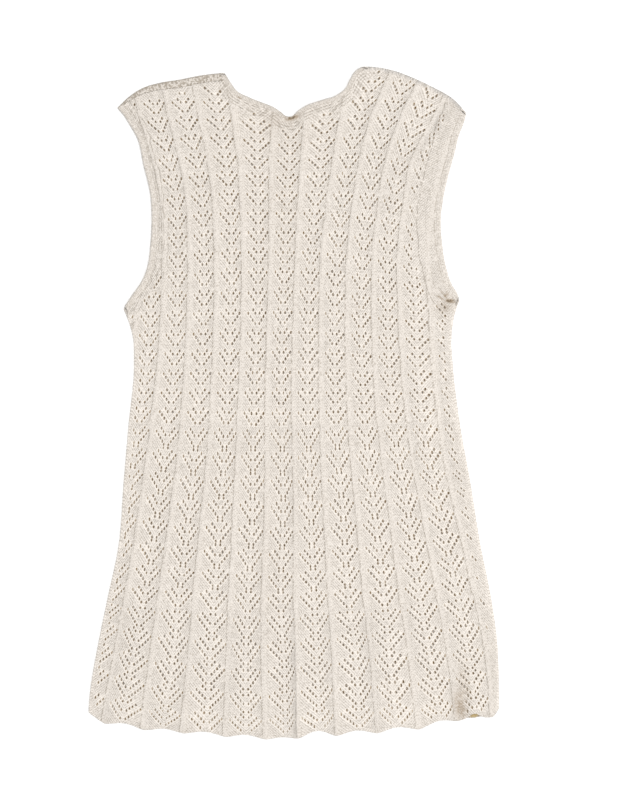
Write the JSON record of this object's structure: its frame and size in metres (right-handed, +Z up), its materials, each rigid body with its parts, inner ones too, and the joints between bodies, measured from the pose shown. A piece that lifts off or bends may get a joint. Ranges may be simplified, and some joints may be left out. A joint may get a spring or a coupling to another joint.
{
  "type": "knit dress",
  "caption": "Sleeveless A-line mini dress in cream lace knit, laid flat, with a shallow notched neckline, narrow trims and a scalloped hem.",
  "frame": {"origin": "on the surface that the dress lies on, under the middle of its bounding box", "axes": "+Y runs up the dress from hem to neck, +X to the right of the side that shows, +Z up from the surface"},
  "size_m": [0.5123, 0.84, 0.0106],
  "materials": {
    "lace_knit": "matte cream cotton lace knit",
    "rib_trim": "matte cream cotton rib"
  },
  "bodies": {
    "root": {"front_panel": "lace_knit", "back_panel": "lace_knit", "armhole_trim_left": "rib_trim", "armhole_trim_right": "rib_trim", "neck_trim": "rib_trim"}
  },
  "joints": []
}
